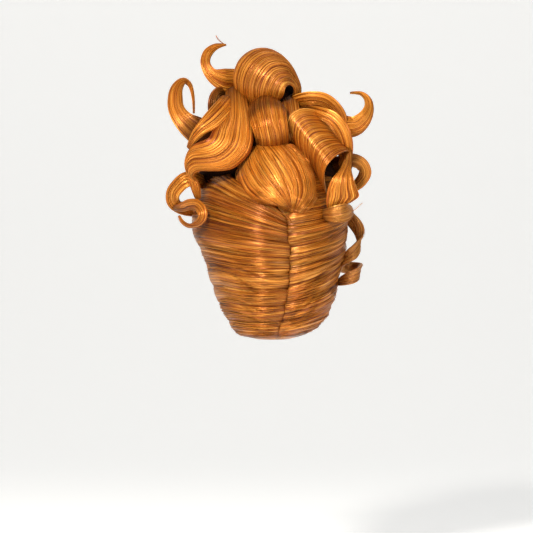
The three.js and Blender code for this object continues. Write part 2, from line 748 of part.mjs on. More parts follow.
add_piece("wig_cap", from_solid(wig_cap()), black_net);
add_hair("crown_roll", crown_roll);
add_hair("left_roll", (grow) => roll(-1, grow));
add_hair("right_roll", (grow) => roll(1, grow));
Object.entries(lock_tables).forEach(([name, table]) => add_hair(name, (grow) => lock(table, grow)));
add_hair("height_pad", height_pad, black_net);
add_hair("front_sweep", front_hair);

export default wig;
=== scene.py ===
# %% [markdown]
# # A copper updo wig
#
# The real object is a wig: hair sewn on a net cap, swept back in two side rolls, rolled once
# at the crown and piled up in big loose ribbon curls over a black pad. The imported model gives
# every piece its place. Here each piece gets its hair: a core with fine ridges, wisps that lie
# on it, and a finish whose streaks run along the hair. Lengths are metres. +X is the wearer's
# right, +Y is the way the wearer faces, +Z is up, so the camera looks along +Y.

# %% Load the frame
from math import pi, radians

import bpy
import numpy as np
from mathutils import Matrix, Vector


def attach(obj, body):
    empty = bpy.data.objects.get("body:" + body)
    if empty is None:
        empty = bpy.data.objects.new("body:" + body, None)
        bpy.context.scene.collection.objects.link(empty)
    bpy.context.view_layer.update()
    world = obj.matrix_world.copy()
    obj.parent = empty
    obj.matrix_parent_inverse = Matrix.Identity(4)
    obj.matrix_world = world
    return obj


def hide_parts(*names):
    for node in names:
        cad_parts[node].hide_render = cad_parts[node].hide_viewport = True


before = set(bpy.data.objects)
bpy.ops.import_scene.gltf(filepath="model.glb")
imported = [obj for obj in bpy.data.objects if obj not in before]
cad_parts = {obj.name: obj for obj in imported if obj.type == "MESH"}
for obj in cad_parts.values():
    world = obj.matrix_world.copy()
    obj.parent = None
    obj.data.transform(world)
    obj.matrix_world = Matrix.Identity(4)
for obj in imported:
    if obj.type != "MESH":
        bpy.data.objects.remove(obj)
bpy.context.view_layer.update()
print("nodes in the frame:", len(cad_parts))

# %% [markdown]
# ## Sizes
#
# A wig maker works from a block of a known size, so the shapes below are given as shares of a
# few lengths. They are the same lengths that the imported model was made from, which keeps every
# lock of hair on the solid it stands for.

# %% Sizes of the head and of the hair
HEAD_HALF_WIDTH = 0.074
HEAD_HALF_DEPTH = 0.097
DOME_HEIGHT = 0.08
NAPE_DROP = 0.18
CAP_WALL = 0.002
SIDE_REACH = 0.12
DEPTH_REACH = 0.12
PILE_HEIGHT = 0.18
RIBBON_WIDTH = 0.036
RIBBON_THICKNESS = 0.004
PLEAT_HEIGHT = 0.005
SEAM_VALLEY = 0.011
FRONT_HAIR_THICKNESS = 0.009
REACH = np.array([SIDE_REACH, DEPTH_REACH, PILE_HEIGHT])

# %% [markdown]
# ## Reading a table
#
# A curl is easier to describe by a few places on it than by a formula. Between the rows of a
# table every column runs on a smooth curve, as a bent strip of steel would between nails.


# %% Smooth values between rows, and straight ones by height
def eased(t):
    """From 0 to 1 with a soft start and a soft stop."""
    return t * t * (3 - 2 * t)


def rows_around(share, last):
    """The four rows around each share of the way, and how far it is past the second."""
    place = np.clip(np.atleast_1d(share), 0, 1) * last
    start = np.minimum(place.astype(int), last - 1)
    around = np.maximum(start - 1, 0), start, start + 1, np.minimum(start + 2, last)
    return around, (place - start)[:, None]


def curve_between(before, here, after, beyond, t):
    """A smooth curve from here to after, whose ends follow the rows beside them."""
    step = eased(t)
    bend_in, bend_out = t**3 - 2 * t**2 + t, t**3 - t**2
    turn = (after - before) / 2 * bend_in + (beyond - here) / 2 * bend_out
    return here * (1 - step) + after * step + turn


def row_at(rows, share):
    rows = np.asarray(rows, float)
    around, t = rows_around(share, len(rows) - 1)
    return curve_between(*(rows[row] for row in around), t)


def row_at_height(rows, height):
    rows = np.asarray(rows, float)
    return [np.interp(height, rows[:, 0], rows[:, column]) for column in range(rows.shape[1])]


def unit(vectors):
    length = np.linalg.norm(vectors, axis=-1, keepdims=True)
    return vectors / np.where(length > 1e-12, length, 1)


# %% Soft random waves, stretched along the hair
def waves(along, across, seed):
    """A smooth random surface between -1 and 1, one hill for each whole step."""
    along, across = np.broadcast_arrays(np.asarray(along, float), np.asarray(across, float))
    table = np.random.default_rng(seed).uniform(-1, 1, (64, 256))
    a, b = np.floor(along).astype(int), np.floor(across).astype(int)
    s, t = eased(along - a), eased(across - b)
    corner = lambda i, j: table[(a + i) % 64, (b + j) % 256]
    low = corner(0, 0) * (1 - t) + corner(0, 1) * t
    high = corner(1, 0) * (1 - t) + corner(1, 1) * t
    return low * (1 - s) + high * s


BROAD_SHARPNESS = 0.2
FINE_SHARPNESS = 0.25


def creases(along, across, seed, sharpness):
    """Round humps with sharp valleys between them, and how deep in a valley each place is."""
    wave = waves(along, across, seed)
    return np.sqrt(np.abs(wave)), np.exp(-((wave / sharpness) ** 2))


def ridges(broad_place, fine_place, seeds, heights):
    """Broad and fine creases as one lift, and how deep in either kind each place is."""
    hump, valley = creases(*broad_place, seeds[0], BROAD_SHARPNESS)
    small, thin = creases(*fine_place, seeds[1], FINE_SHARPNESS)
    broad, fine, sunk = heights
    return hump * broad + small * fine - sunk, valley, thin


def along_and_across(stations, strands, low=-1):
    """Shares along from 0 to 1 in a column, and places across from low to 1 in a row."""
    return np.linspace(0, 1, stations)[:, None], np.linspace(low, 1, strands)[None, :]


print("helpers for tables and waves are ready")

# %% [markdown]
# ## A bundle of straight strands
#
# Hair comes as a straight hank before it is set. So every piece starts as one upright tube: a
# cylinder whose long edges are cut by the edge ring tool, repeated side by side by an Array
# modifier. The straight bundle is then bent on to its place by moving its vertices. A curve
# object with a bevel could do it too, but it can't have ridges across a wide ribbon.


# %% Straight bundle
def object_mode():
    bpy.ops.object.mode_set(mode="OBJECT")


def edit_mode():
    bpy.ops.object.mode_set(mode="EDIT")


def edit_only(mesh, kind, chosen):
    """Go to edit mode with only the chosen vertices or edges selected."""
    edit_mode()
    bpy.ops.mesh.select_mode(type=kind)
    bpy.ops.mesh.select_all(action="DESELECT")
    object_mode()
    parts = mesh.vertices if kind == "VERT" else mesh.edges
    parts.foreach_set("select", chosen)
    edit_mode()


TUBE_RADIUS = 0.4


def straight_bundle(strands, sides, stations):
    """The new tube stays the active object, for the steps that follow."""
    bpy.ops.mesh.primitive_cylinder_add(
        vertices=sides, radius=TUBE_RADIUS, depth=1, end_fill_type="TRIFAN"
    )
    tube = bpy.context.object
    mesh = tube.data
    heights = [[mesh.vertices[v].co.z for v in edge.vertices] for edge in mesh.edges]
    edit_only(mesh, "EDGE", [abs(low - high) > 0.5 for low, high in heights])
    bpy.ops.mesh.subdivide_edgering(
        number_cuts=stations - 2, interpolation="LINEAR", smoothness=0
    )
    object_mode()
    if strands > 1:
        rows = tube.modifiers.new("side by side", "ARRAY")
        rows.count = strands
        rows.use_relative_offset, rows.use_constant_offset = False, True
        rows.constant_offset_displace = (1, 0, 0)
        bpy.ops.object.modifier_apply(modifier=rows.name)
    return tube


# %% Bend a bundle on to its place
def bend_bundle(tube, rings, hair_map, tone, ends=None, open_at=()):
    """rings[strand, station, side] are points; hair_map and tone, which is painted shade and
    tan, go with them. The fan that closes the bundle is taken off at the stations in open_at,
    where its faces meet."""
    strands, stations, sides = rings.shape[:3]
    mesh = tube.data
    count = len(mesh.vertices)
    straight = np.empty(count * 3)
    mesh.vertices.foreach_get("co", straight)
    straight = straight.reshape(-1, 3)
    strand = np.arange(count) // (count // strands)
    x, y = straight[:, 0] - strand, straight[:, 1]
    station = np.rint((straight[:, 2] + 0.5) * (stations - 1)).astype(int)
    side = np.rint(np.arctan2(x, y) / (2 * pi) * sides).astype(int) % sides
    centre = np.hypot(x, y) < TUBE_RADIUS / 4
    if ends is None:
        ends = (rings[:, :, 0] + rings[:, :, sides // 2]) / 2
    places = rings[strand, station, side]
    places[centre] = ends[strand[centre], station[centre]]
    mesh.vertices.foreach_set("co", places.ravel())
    spots = hair_map[strand, station, side]
    loops = np.empty(len(mesh.loops), int)
    mesh.loops.foreach_get("vertex_index", loops)
    while mesh.uv_layers:
        mesh.uv_layers.remove(mesh.uv_layers[0])
    mesh.uv_layers.new(name="hair_map").data.foreach_set("uv", spots[loops].ravel())
    shade = mesh.attributes.new("hair_tone", "FLOAT_COLOR", "POINT")
    colour = np.ones((count, 4))
    colour[:, :2] = tone[strand, station, side]
    colour[:, 2] = 0
    shade.data.foreach_set("color", colour.ravel())
    mesh.update()
    edit_only(mesh, "VERT", centre & np.isin(station, open_at))
    if open_at:
        bpy.ops.mesh.delete(type="VERT")
    bpy.ops.mesh.select_all(action="SELECT")
    bpy.ops.mesh.normals_make_consistent()
    object_mode()
    bpy.ops.object.shade_smooth()
    return tube


# %% A wide bundle, with an outer and an inner face
def wide_bundle(outer, inner, shades, length, breadth, shift=0, open_at=()):
    """Its sides run across the outer face and back along the inner one. shades are the painted
    shade of either face; length and breadth lay out its map."""
    stations, strands = outer.shape[:2]
    rings = np.concatenate([outer, inner], axis=1)[None]
    over, back = np.linspace(*breadth, strands), np.linspace(*breadth[::-1], inner.shape[1])
    u = np.linspace(0, length, stations)[:, None]
    v = np.concatenate([over, back]) + shift
    hair_map = np.stack(np.broadcast_arrays(u, v), -1)[None]
    tone = np.zeros((*rings.shape[:3], 2))
    tone[0, :, :strands, 0], tone[0, :, strands:, 0] = shades
    tube = straight_bundle(1, rings.shape[2], stations)
    return bend_bundle(tube, rings, hair_map, tone, open_at=open_at)


# %% Wisps: thin flat strands that lie along a surface
WISP_SIDES = 3


def no_tone(reach, across):
    reach, across = np.broadcast_arrays(reach, across)
    return np.zeros((*reach.shape, 2))


def wisps(
    surface, strands, stations, width, lift, spread, u_span, seed, height=0.00035, tone=no_tone
):
    """surface(share, across, lift) gives points; each wisp runs at its own place across.
    tone(share, across) says how much painted shade and how much tan it has."""
    dice = np.random.default_rng(seed)
    share = np.linspace(0, 1, stations)
    home = (np.arange(strands) + dice.uniform(0.15, 0.85, strands)) / strands * 2 - 1
    start = np.where(dice.random(strands) < 0.75, 0, dice.uniform(0, 0.3, strands))
    stop = np.where(dice.random(strands) < 0.7, 1, dice.uniform(0.7, 1, strands))
    reach = start[:, None] + (stop - start)[:, None] * share
    drift = waves(reach * 2.2, np.arange(strands)[:, None] * 7.3, seed + 1) * spread
    across = np.clip(home[:, None] * 0.97 + drift, -1, 1)
    high = lift * (0.35 + 0.65 * dice.random(strands)[:, None])
    high = high * (0.7 + 0.5 * waves(reach * 3, np.arange(strands)[:, None] * 3.1, seed + 2))
    taper = np.clip(np.minimum((share + 0.02) / 0.08, (1.02 - share) / 0.16), 0.06, 1)
    size = dice.uniform(0.6, 1.25, strands)[:, None] * taper
    points = surface(reach, across, high)
    beside = unit(surface(reach, across + 0.02, high) - surface(reach, across - 0.02, high))
    over = unit(surface(reach, across, high + 0.001) - surface(reach, across, high - 0.001))
    turn = np.linspace(0, 2 * pi, WISP_SIDES, endpoint=False)
    rings = (
        points[:, :, None]
        + beside[:, :, None] * (np.sin(turn)[None, None, :] * size[..., None] * width)[..., None]
        + over[:, :, None] * (np.cos(turn)[None, None, :] * size[..., None] * height)[..., None]
    )
    u = reach * u_span
    v = dice.uniform(0, 0.4, strands)[:, None] + across * 0.002
    hair_map = np.stack(np.broadcast_arrays(u[..., None], v[..., None] + turn * 0.0002), -1)
    shade = tone(reach, across)[:, :, None] + np.zeros((1, 1, WISP_SIDES, 1))
    tube = straight_bundle(strands, WISP_SIDES, stations)
    return bend_bundle(tube, rings, hair_map, shade, ends=rings.mean(axis=2))


# %% [markdown]
# ## Finishes
#
# Hair shines across its strands, because every strand is a thin round mirror. The streaks and
# the fine grooves therefore run along the first direction of the piece's own map: noise that is
# stretched a hundred times along the hair gives both the colour of single hairs and a bump. An
# image could do it too, but noise has no seams and can be as fine as the hair.


# %% A bench for shader sums
class Wire:
    """A node's output that takes part in sums."""

    def __init__(self, bench, socket):
        self.bench, self.socket = bench, socket

    def sum_of(self, operation, *values):
        return self.bench.node("Math", {"operation": operation}, dict(enumerate(values)))

    def __add__(self, other):
        return self.sum_of("ADD", self, other)

    def __rsub__(self, other):
        return self.sum_of("SUBTRACT", other, self)

    def __mul__(self, other):
        return self.sum_of("MULTIPLY", self, other)

    __radd__ = __add__


class Bench:
    """A material's node tree, and the one way to add a node to it."""

    def __init__(self, name):
        self.material = bpy.data.materials.new(name)
        self.material.use_nodes = True
        self.tree = self.material.node_tree
        self.shader = self.tree.nodes["Principled BSDF"]

    def node(self, kind, settings=None, inputs=None, output=0):
        node = self.tree.nodes.new("ShaderNode" + kind)
        for key, value in (settings or {}).items():
            if key == "stops":
                ramp = node.color_ramp
                while len(ramp.elements) < len(value):
                    ramp.elements.new(0.5)
                for element, (place, colour) in zip(ramp.elements, value):
                    element.position, element.color = place, (*colour, 1)
            else:
                setattr(node, key, value)
        for key, value in (inputs or {}).items():
            self.plug(node.inputs[key], value)
        return Wire(self, node.outputs[output])

    def plug(self, socket, value):
        if isinstance(value, Wire):
            self.tree.links.new(value.socket, socket)
        else:
            socket.default_value = value

    def finish(self, **inputs):
        for key, value in inputs.items():
            self.plug(self.shader.inputs[key.replace("_", " ")], value)
        return self.material


# %% Copper hair
SHADOW_HAIR = (0.16, 0.026, 0.002)
DEEP_HAIR = (0.40, 0.092, 0.004)
COPPER_HAIR = (0.62, 0.205, 0.012)
LIGHT_HAIR = (0.90, 0.415, 0.065)
TAN_HAIR = (0.40, 0.20, 0.065)
# the dark brown that painted shade mixes in
PAINTED_SHADE_HAIR = (0.060, 0.010, 0.002)


def hair_finish():
    bench = Bench("copper_hair_strands")
    spot = bench.node("UVMap", {"uv_map": "hair_map"})
    stretched = lambda along, across: bench.node(
        "VectorMath", {"operation": "MULTIPLY"}, {0: spot, 1: (along, across, 1)}
    )
    noise = lambda along, across, detail: bench.node(
        "TexNoise",
        {"noise_dimensions": "2D"},
        {"Vector": stretched(along, across), "Scale": 1.0, "Detail": detail, "Roughness": 0.6},
    )
    single = noise(9, 1000, 2.0)
    group = noise(6, 600, 2.0)
    broad = noise(4, 90, 1.0)
    streak = single * 0.42 + group * 0.46 + broad * 0.12
    colour = bench.node(
        "ValToRGB",
        {"stops": [(0.39, SHADOW_HAIR), (0.46, DEEP_HAIR), (0.52, COPPER_HAIR), (0.63, LIGHT_HAIR)]},
        {"Fac": streak},
    )
    # The attribute's first part is painted shade, which mixes the streaks towards a dark brown; its second
    # part is tan, the hair's own colour at some ends.
    tone = bench.node("Attribute", {"attribute_name": "hair_tone"})
    parts = bench.node("SeparateColor", {}, {"Color": tone})
    dark, tan = parts, Wire(bench, parts.socket.node.outputs[1])
    mixed = bench.node(
        "Mix", {"data_type": "RGBA"}, {"Factor": tan, 6: colour, 7: (*TAN_HAIR, 1)}, 2
    )
    shaded = bench.node(
        "Mix", {"data_type": "RGBA"}, {"Factor": dark, 6: mixed, 7: (*PAINTED_SHADE_HAIR, 1)}, 2
    )
    groove = bench.node(
        "Bump", {}, {"Strength": 0.7, "Distance": 0.0007, "Height": single + group}
    )
    return bench.finish(
        Base_Color=shaded, Roughness=0.25 + single * 0.22, Normal=groove, Metallic=0.45,
        Specular_IOR_Level=0.5, Specular_Tint=(1, 0.95, 0.85, 1),
    )


# %% Black net
def net_finish():
    bench = Bench("black_net_mesh")
    spot = bench.node("TexCoord", {}, {}, 3)
    cells = bench.node(
        "TexVoronoi", {"feature": "DISTANCE_TO_EDGE"}, {"Vector": spot, "Scale": 420.0}
    )
    thread = bench.node(
        "MapRange", {}, {"Value": cells, "From Min": 0.02, "From Max": 0.14}
    )
    fuzz = bench.node("TexNoise", {}, {"Vector": spot, "Scale": 900.0, "Detail": 2.0})
    colour = bench.node(
        "Mix", {"data_type": "RGBA"},
        {"Factor": thread, 6: (0.030, 0.008, 0.003, 1), 7: (0.008, 0.003, 0.002, 1)}, 2,
    )
    height = (1 - thread) + fuzz * 0.3
    relief = bench.node("Bump", {}, {"Strength": 0.6, "Distance": 0.0008, "Height": height})
    return bench.finish(
        Base_Color=colour, Roughness=0.8 + fuzz * 0.2, Normal=relief, Specular_IOR_Level=0.04
    )


FINISHES = {"copper_hair": hair_finish(), "black_net": net_finish()}
print("finishes:", *FINISHES)


# %% Hand a finished piece to the frame
def hand_over(piece, name, node, slot):
    piece.name = name
    piece.data.name = name
    piece.data.materials.clear()
    piece.data.materials.append(FINISHES[slot])
    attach(piece, "root")
    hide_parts(node)
    piece.data.calc_loop_triangles()
    print(piece.name, "for", node, "with", len(piece.data.loop_triangles), "triangles")


def hand_over_hair(parts, node):
    bpy.ops.object.select_all(action="DESELECT")
    for part in parts:
        part.select_set(True)
    bpy.context.view_layer.objects.active = parts[0]
    bpy.ops.object.join()
    hand_over(parts[0], node + "_hair", node, "copper_hair")


# %% [markdown]
# ## The head under the hair
#
# The hair lies on a head, so its inner side follows the head's form: a dome down to the widest
# place, and then in towards the nape. Nothing is drawn for the head itself.

# %% Head form
NECK_TABLE = [
    # place down the head, side and depth as shares of the head's
    [1.0, 1.0, 1.0], [1.3, 0.92, 0.95], [1.6, 0.76, 0.82], [1.85, 0.6, 0.68], [2.2, 0.48, 0.6],
]
HEM_TABLE = [
    # azimuth share from the face to the nape, height as a share of the nape drop
    [0.0, -0.3], [0.3, -0.33], [0.42, -0.45], [0.5, -0.6], [0.6, -0.68], [0.75, -0.85], [1.0, -0.94],
]


def head_section(place, grow):
    angle = np.minimum(place, 1) * pi / 2
    _, side, depth = row_at_height(NECK_TABLE, np.maximum(place, 1))
    below = np.maximum(place - 1, 0) * (NAPE_DROP - DOME_HEIGHT)
    return (
        (HEAD_HALF_WIDTH + grow) * np.sin(angle) * side,
        (HEAD_HALF_DEPTH + grow) * np.sin(angle) * depth,
        -DOME_HEIGHT + (DOME_HEIGHT + grow) * np.cos(angle) - below,
    )


def place_of_height(height):
    dome = np.arccos(np.clip(1 + height / DOME_HEIGHT, -1, 1)) / (pi / 2)
    below = 1 + (-height - DOME_HEIGHT) / (NAPE_DROP - DOME_HEIGHT)
    return np.where(height > -DOME_HEIGHT, dome, below)


def hem_height(azimuth):
    from_face = np.abs((azimuth + pi) % (2 * pi) - pi) / pi
    return row_at_height(HEM_TABLE, from_face)[1] * NAPE_DROP


def round_over(across):
    """Half a circle over the places from -1 to 1."""
    return np.sqrt(np.maximum(1 - across**2, 0))


def around_head(azimuth, place, grow):
    side, depth, height = head_section(place, grow)
    azimuth, side, depth, height = np.broadcast_arrays(azimuth, side, depth, height)
    return np.stack([side * np.sin(azimuth), depth * np.cos(azimuth), height], -1)


# %% [markdown]
# ## Side rolls
#
# The hair below the crown is combed back from both sides and tucked into a vertical seam right
# of the middle. It lies in broad pleats, each a soft swelling, with single strands that cross
# from one pleat to the next. The roll is one wide bundle: its stations run from the temple to
# the seam, as the hair does, and its sides go up the outer face and down the inner one.

# %% Tables of the rolls
ROLL_TABLE = [
    # height, left, right and back reach, start in degrees, seam
    [-1.01, 0.16, 0.18, 0.56, -14, 0.03], [-0.985, 0.34, 0.33, 0.63, -10, 0.045],
    [-0.94, 0.4, 0.45, 0.7, -6, 0.07], [-0.86, 0.465, 0.55, 0.79, -3, 0.1],
    [-0.76, 0.54, 0.61, 0.88, 0, 0.14], [-0.66, 0.585, 0.635, 0.95, 4, 0.16],
    [-0.56, 0.625, 0.66, 1.0, 10, 0.17], [-0.46, 0.67, 0.7, 1.03, 18, 0.17],
    [-0.36, 0.735, 0.72, 1.06, 28, 0.16], [-0.26, 0.79, 0.735, 1.05, 34, 0.145],
    [-0.14, 0.77, 0.74, 0.98, 36, 0.145], [0.0, 0.72, 0.7, 0.86, 36, 0.15],
    [0.06, 0.66, 0.64, 0.74, 36, 0.15], [0.11, 0.52, 0.52, 0.56, 36, 0.15],
]
PLEAT_TABLE = [
    # lower and upper edge as shares of the roll's height, swelling
    [0.0, 0.11, 0.7], [0.11, 0.215, 1.0], [0.215, 0.315, 0.8], [0.315, 0.43, 1.0], [0.43, 0.54, 0.8],
    [0.54, 0.665, 1.0], [0.665, 0.9, 0.6], [0.9, 1.0, 0.2],
]
SEAM_TOP = -0.2  # where the left roll's top strands reach the seam, under the crown roll


def pleat_swell(level):
    swell = np.zeros_like(level)
    for low, high, size in PLEAT_TABLE:
        share = np.clip((level - low) / (high - low), 0, 1)
        swell = np.maximum(swell, size * PLEAT_HEIGHT * np.sin(pi * share) ** 0.6)
    return swell


# how much nearer to the head a roll starts, and over what share of its way that wears off
FRONT_TUCK = 0.12
TUCK_REACH = 0.16


def roll_face(side, across, level, lift=0.0):
    """A point of the roll: across from the temple to the seam, level from the nape up."""
    low, high = ROLL_TABLE[0][0], ROLL_TABLE[-1][0]
    across, level = np.broadcast_arrays(across, level)
    share = low + (high - low) * level
    if side < 0:
        sag = 0.03 * np.sin(pi * np.clip(across * 1.6 - 0.6, 0, 1)) * np.sin(pi * level)
        fan = np.clip((across - 0.5) / 0.5, 0, 1) ** 1.4
        share = share - sag - (high - SEAM_TOP) * fan * level**2.4
    else:
        share = share + 0.25 * (1 - across) ** 1.3 * (4 * level * (1 - level)) ** 0.7
    height, left, right, back, start, seam = row_at_height(ROLL_TABLE, share)
    seam = seam + 0.016 * waves(0.5, height * 13 + 40, 19)
    swell = pleat_swell(level)
    width = (left if side < 0 else right) * SIDE_REACH + swell * 0.5
    depth = back * DEPTH_REACH
    seam_angle = pi / 2 - np.arcsin(np.clip(side * seam * SIDE_REACH / width, -0.9, 0.9))
    start_angle = -np.radians(start)
    angle = start_angle + (seam_angle - start_angle) * across
    to_seam = np.maximum(seam_angle - angle, 0) * width
    turned_in = SEAM_VALLEY * (3.4 if side < 0 else 2.0)
    valley = 0.85 * SEAM_VALLEY * np.maximum(1 - to_seam / turned_in, 0) ** 1.9
    behind = np.where(np.sin(angle) > 0, depth + swell - valley, HEAD_HALF_DEPTH + swell)
    tuck = 1 - FRONT_TUCK * np.maximum(1 - across / TUCK_REACH, 0) ** 2
    x = side * (width * tuck + lift) * np.cos(angle)
    y = -(behind * tuck + lift) * np.sin(angle)
    return np.stack([x, y, height * NAPE_DROP], -1)


def head_side_of(points):
    """The place on the head's form behind each point of hair."""
    height = np.minimum(points[..., 2], -0.006)
    side, depth, _ = head_section(place_of_height(height), CAP_WALL + 0.0012)
    reach = np.hypot(points[..., 0] / side, points[..., 1] / depth)
    scale = 1 / np.maximum(reach, 1.02)
    return np.stack([points[..., 0] * scale, points[..., 1] * scale, height], -1)


# %% Make both rolls
ROLL_STRAND_LENGTH = 0.15
ROLL_RIDGES = (0.0018, 0.0005, 0.001)
# painted shade: how much darker the left roll, -1, and the right one, 1, are painted all over, and the
# painted shade added at the seam, along the pleat edges, in the crease valleys and under the crown
PAINTED_BODY_SHADE = {-1: 0.25, 1: 0.03}
PAINTED_ROLL_SHADE = {"seam": 0.3, "pleat_edge": 0.25, "valley": 0.45, "thin": 0.35, "under_crown": 0.4}


def roll_hair(side, node, seed):
    stations, levels, inner_levels = 96, 230, 22
    across, level = along_and_across(stations, levels, low=0)
    drift = 1.6 * waves(across * 2.2, level * 5, seed + 7)
    lift, valley, thin = ridges(
        (across * 2.6 + drift * 0.3, level * 24 + drift), (across * 4, level * 62 + drift * 2),
        (seed, seed + 1), ROLL_RIDGES,
    )
    inner_level = np.linspace(1, 0, inner_levels)[None, :]
    inner = head_side_of(roll_face(side, across, inner_level, -CAP_WALL))
    inner[0] = roll_face(side, 0.0, inner_level[0])
    # Painted shade near the seam, over a wider band on the right roll, under the crown roll on the right,
    # along the pleat edges and in the crease valleys.
    near_seam = np.clip((across - 0.95) / 0.05, 0, 1) ** 2
    if side > 0:
        near_seam = np.clip((across - 0.7) / 0.3, 0, 1)
    under_crown = np.clip((level - 0.8) / 0.1, 0, 1) * np.clip((across - 0.45) / 0.1, 0, 1)
    edges = [np.exp(-(((level - low) / 0.006) ** 2)) for low, _, _ in PLEAT_TABLE[1:]]
    marks = {"seam": near_seam, "pleat_edge": np.max(edges, axis=0), "valley": valley,
             "thin": thin, "under_crown": under_crown * (side > 0)}
    dark = PAINTED_BODY_SHADE[side] + sum(PAINTED_ROLL_SHADE[mark] * marks[mark] for mark in marks)
    # The inner face, against the head, gets 0.7 of painted shade.
    core = wide_bundle(
        roll_face(side, across, level, lift), inner, (np.clip(dark, 0, 0.8), 0.7),
        ROLL_STRAND_LENGTH, (0, 0.18), open_at=[0],
    )
    # The wisps get a softer share of the same painted shade, and more at the seam.
    loose = wisps(
        lambda reach, place, lift: roll_face(side, reach, (place + 1) / 2, lift),
        tone=lambda reach, place: np.stack(
            [PAINTED_BODY_SHADE[side] * 0.6 + 0.3 * np.clip((reach - 0.95) / 0.05, 0, 1) ** 2,
             np.zeros_like(reach)], -1
        ),
        strands=300, stations=32, width=0.00045, lift=0.0018, spread=0.02,
        u_span=ROLL_STRAND_LENGTH, seed=seed + 2,
    )
    hand_over_hair([core, loose], node)


roll_hair(-1, "left_roll", 20)
roll_hair(1, "right_roll", 40)

# %% [markdown]
# ## Crown roll
#
# Above the seam the hair is turned over once into a smooth round roll. Its strands start along
# the top, fan out over the ball and meet at a pinch low on the right. The table gives seven of
# those strands from left to right, by where they pass as seen from behind, and the roll's own
# sections give how far back each point lies. The numbers are hundredths of the reaches.

# %% Tables of the crown roll
CROWN_TABLE = np.array([
    # height, then left, right and back reach
    [-24, 12, 24, 98], [-20, -2, 38, 105], [-15, -22, 48, 111], [-9, -33, 50.5, 114],
    [-2, -38, 48.5, 112], [6, -38.5, 44, 107], [15, -34, 40, 97], [22, -28, 33, 86],
    [27, -20, 26, 74], [29.5, -8, 16, 60],
]) / 100
CROWN_STRANDS = np.array([
    # five places along a strand from its start to the pinch: side and rise for each
    [-30, 16, -38.5, 6, -36.5, -4, -27, -11, -12, -12.5],
    [-28, 21, -28.5, 10, -21, -1, -9, -8.5, 5, -13.5],
    [-20, 26.5, -15, 16, -5, 4.5, 7, -6, 16.5, -15], [-7, 29, 4, 19.5, 15, 8, 21, -4, 20.5, -16],
    [6, 29.5, 21, 20.5, 31, 8.5, 34, -5.5, 24, -17], [15, 28.5, 31, 20, 41, 6.5, 43, -8, 28, -20],
    [22, 26.5, 40, 14, 50, -5, 45, -15, 18, -24.5],
]) / 100


def crown_face(share, across, lift):
    """across goes from -1 on the left strand to 1 on the right strand."""
    share, across, lift = np.broadcast_arrays(share, across, lift)
    shape = share.shape
    strand = row_at(CROWN_STRANDS, (across.ravel() + 1) / 2)
    places = strand.reshape(-1, 5, 2)
    around, t = rows_around(share.ravel(), 4)
    pick = np.arange(share.size)
    seen = curve_between(*(places[pick, row] for row in around), t)
    side, rise = seen[:, 0], seen[:, 1]
    _, left, right, back = row_at_height(CROWN_TABLE, rise)
    middle, half = (left + right) / 2, (right - left) / 2
    off = np.clip((side - middle) / half, -1, 1)
    root = -0.35 * DEPTH_REACH
    y = root + (-back * DEPTH_REACH - root) * round_over(off)
    pinch = np.exp(-(((side - 0.2) / 0.07) ** 2) - ((rise + 0.16) / 0.035) ** 2)
    y = y + 0.009 * pinch - lift.ravel()
    return np.stack([side * SIDE_REACH, y, rise * PILE_HEIGHT], -1).reshape(*shape, 3)


# %% Make the crown roll
CROWN_STRAND_LENGTH = 0.11
CROWN_RIDGES = (0.0008, 0.0004, 0.0005)


def crown_hair():
    stations, strands, inner = 110, 150, 14
    share, across = along_and_across(stations, strands)
    drift = waves(share * 2, across * 3, 60)
    lift, valley, thin = ridges(
        (share * 2.4 + 3, across * 11 + drift), (share * 4, across * 32 + drift), (61, 62),
        CROWN_RIDGES,
    )
    back = crown_face(share, np.linspace(1, -1, inner)[None, :], 0)
    back[..., 1] = -0.3 * DEPTH_REACH
    back[..., 0] *= 0.93
    # Painted shade in the crease valleys, growing towards the pinch, and 0.7 of it on the inner face.
    dark = (0.08 + 0.32 * share**2) * valley + 0.14 * thin + 0.25 * share**6
    core = wide_bundle(
        crown_face(share, across, lift), back, (dark, 0.7), CROWN_STRAND_LENGTH, (-0.06, 0.06),
        shift=1,
    )
    loose = wisps(
        crown_face, strands=210, stations=34, width=0.0004, lift=0.001, spread=0.03,
        u_span=CROWN_STRAND_LENGTH, seed=63,
    )
    hand_over_hair([core, loose], "crown_roll")


crown_hair()

# %% [markdown]
# ## Locks
#
# A curl of this pile is a flat ribbon of combed hair, bowed across like a leaf. A ribbon's path
# is a table of places, each with the ribbon's width there as seen from behind and in depth. A
# very wide curl is given by its two edges, and a ringlet by the axis it winds round. Each lock
# has a ridged core, and wisps on both of its faces that break up its smooth edge. The numbers
# are hundredths: of the reach to the side, up the pile and in depth, or of a ribbon's width.

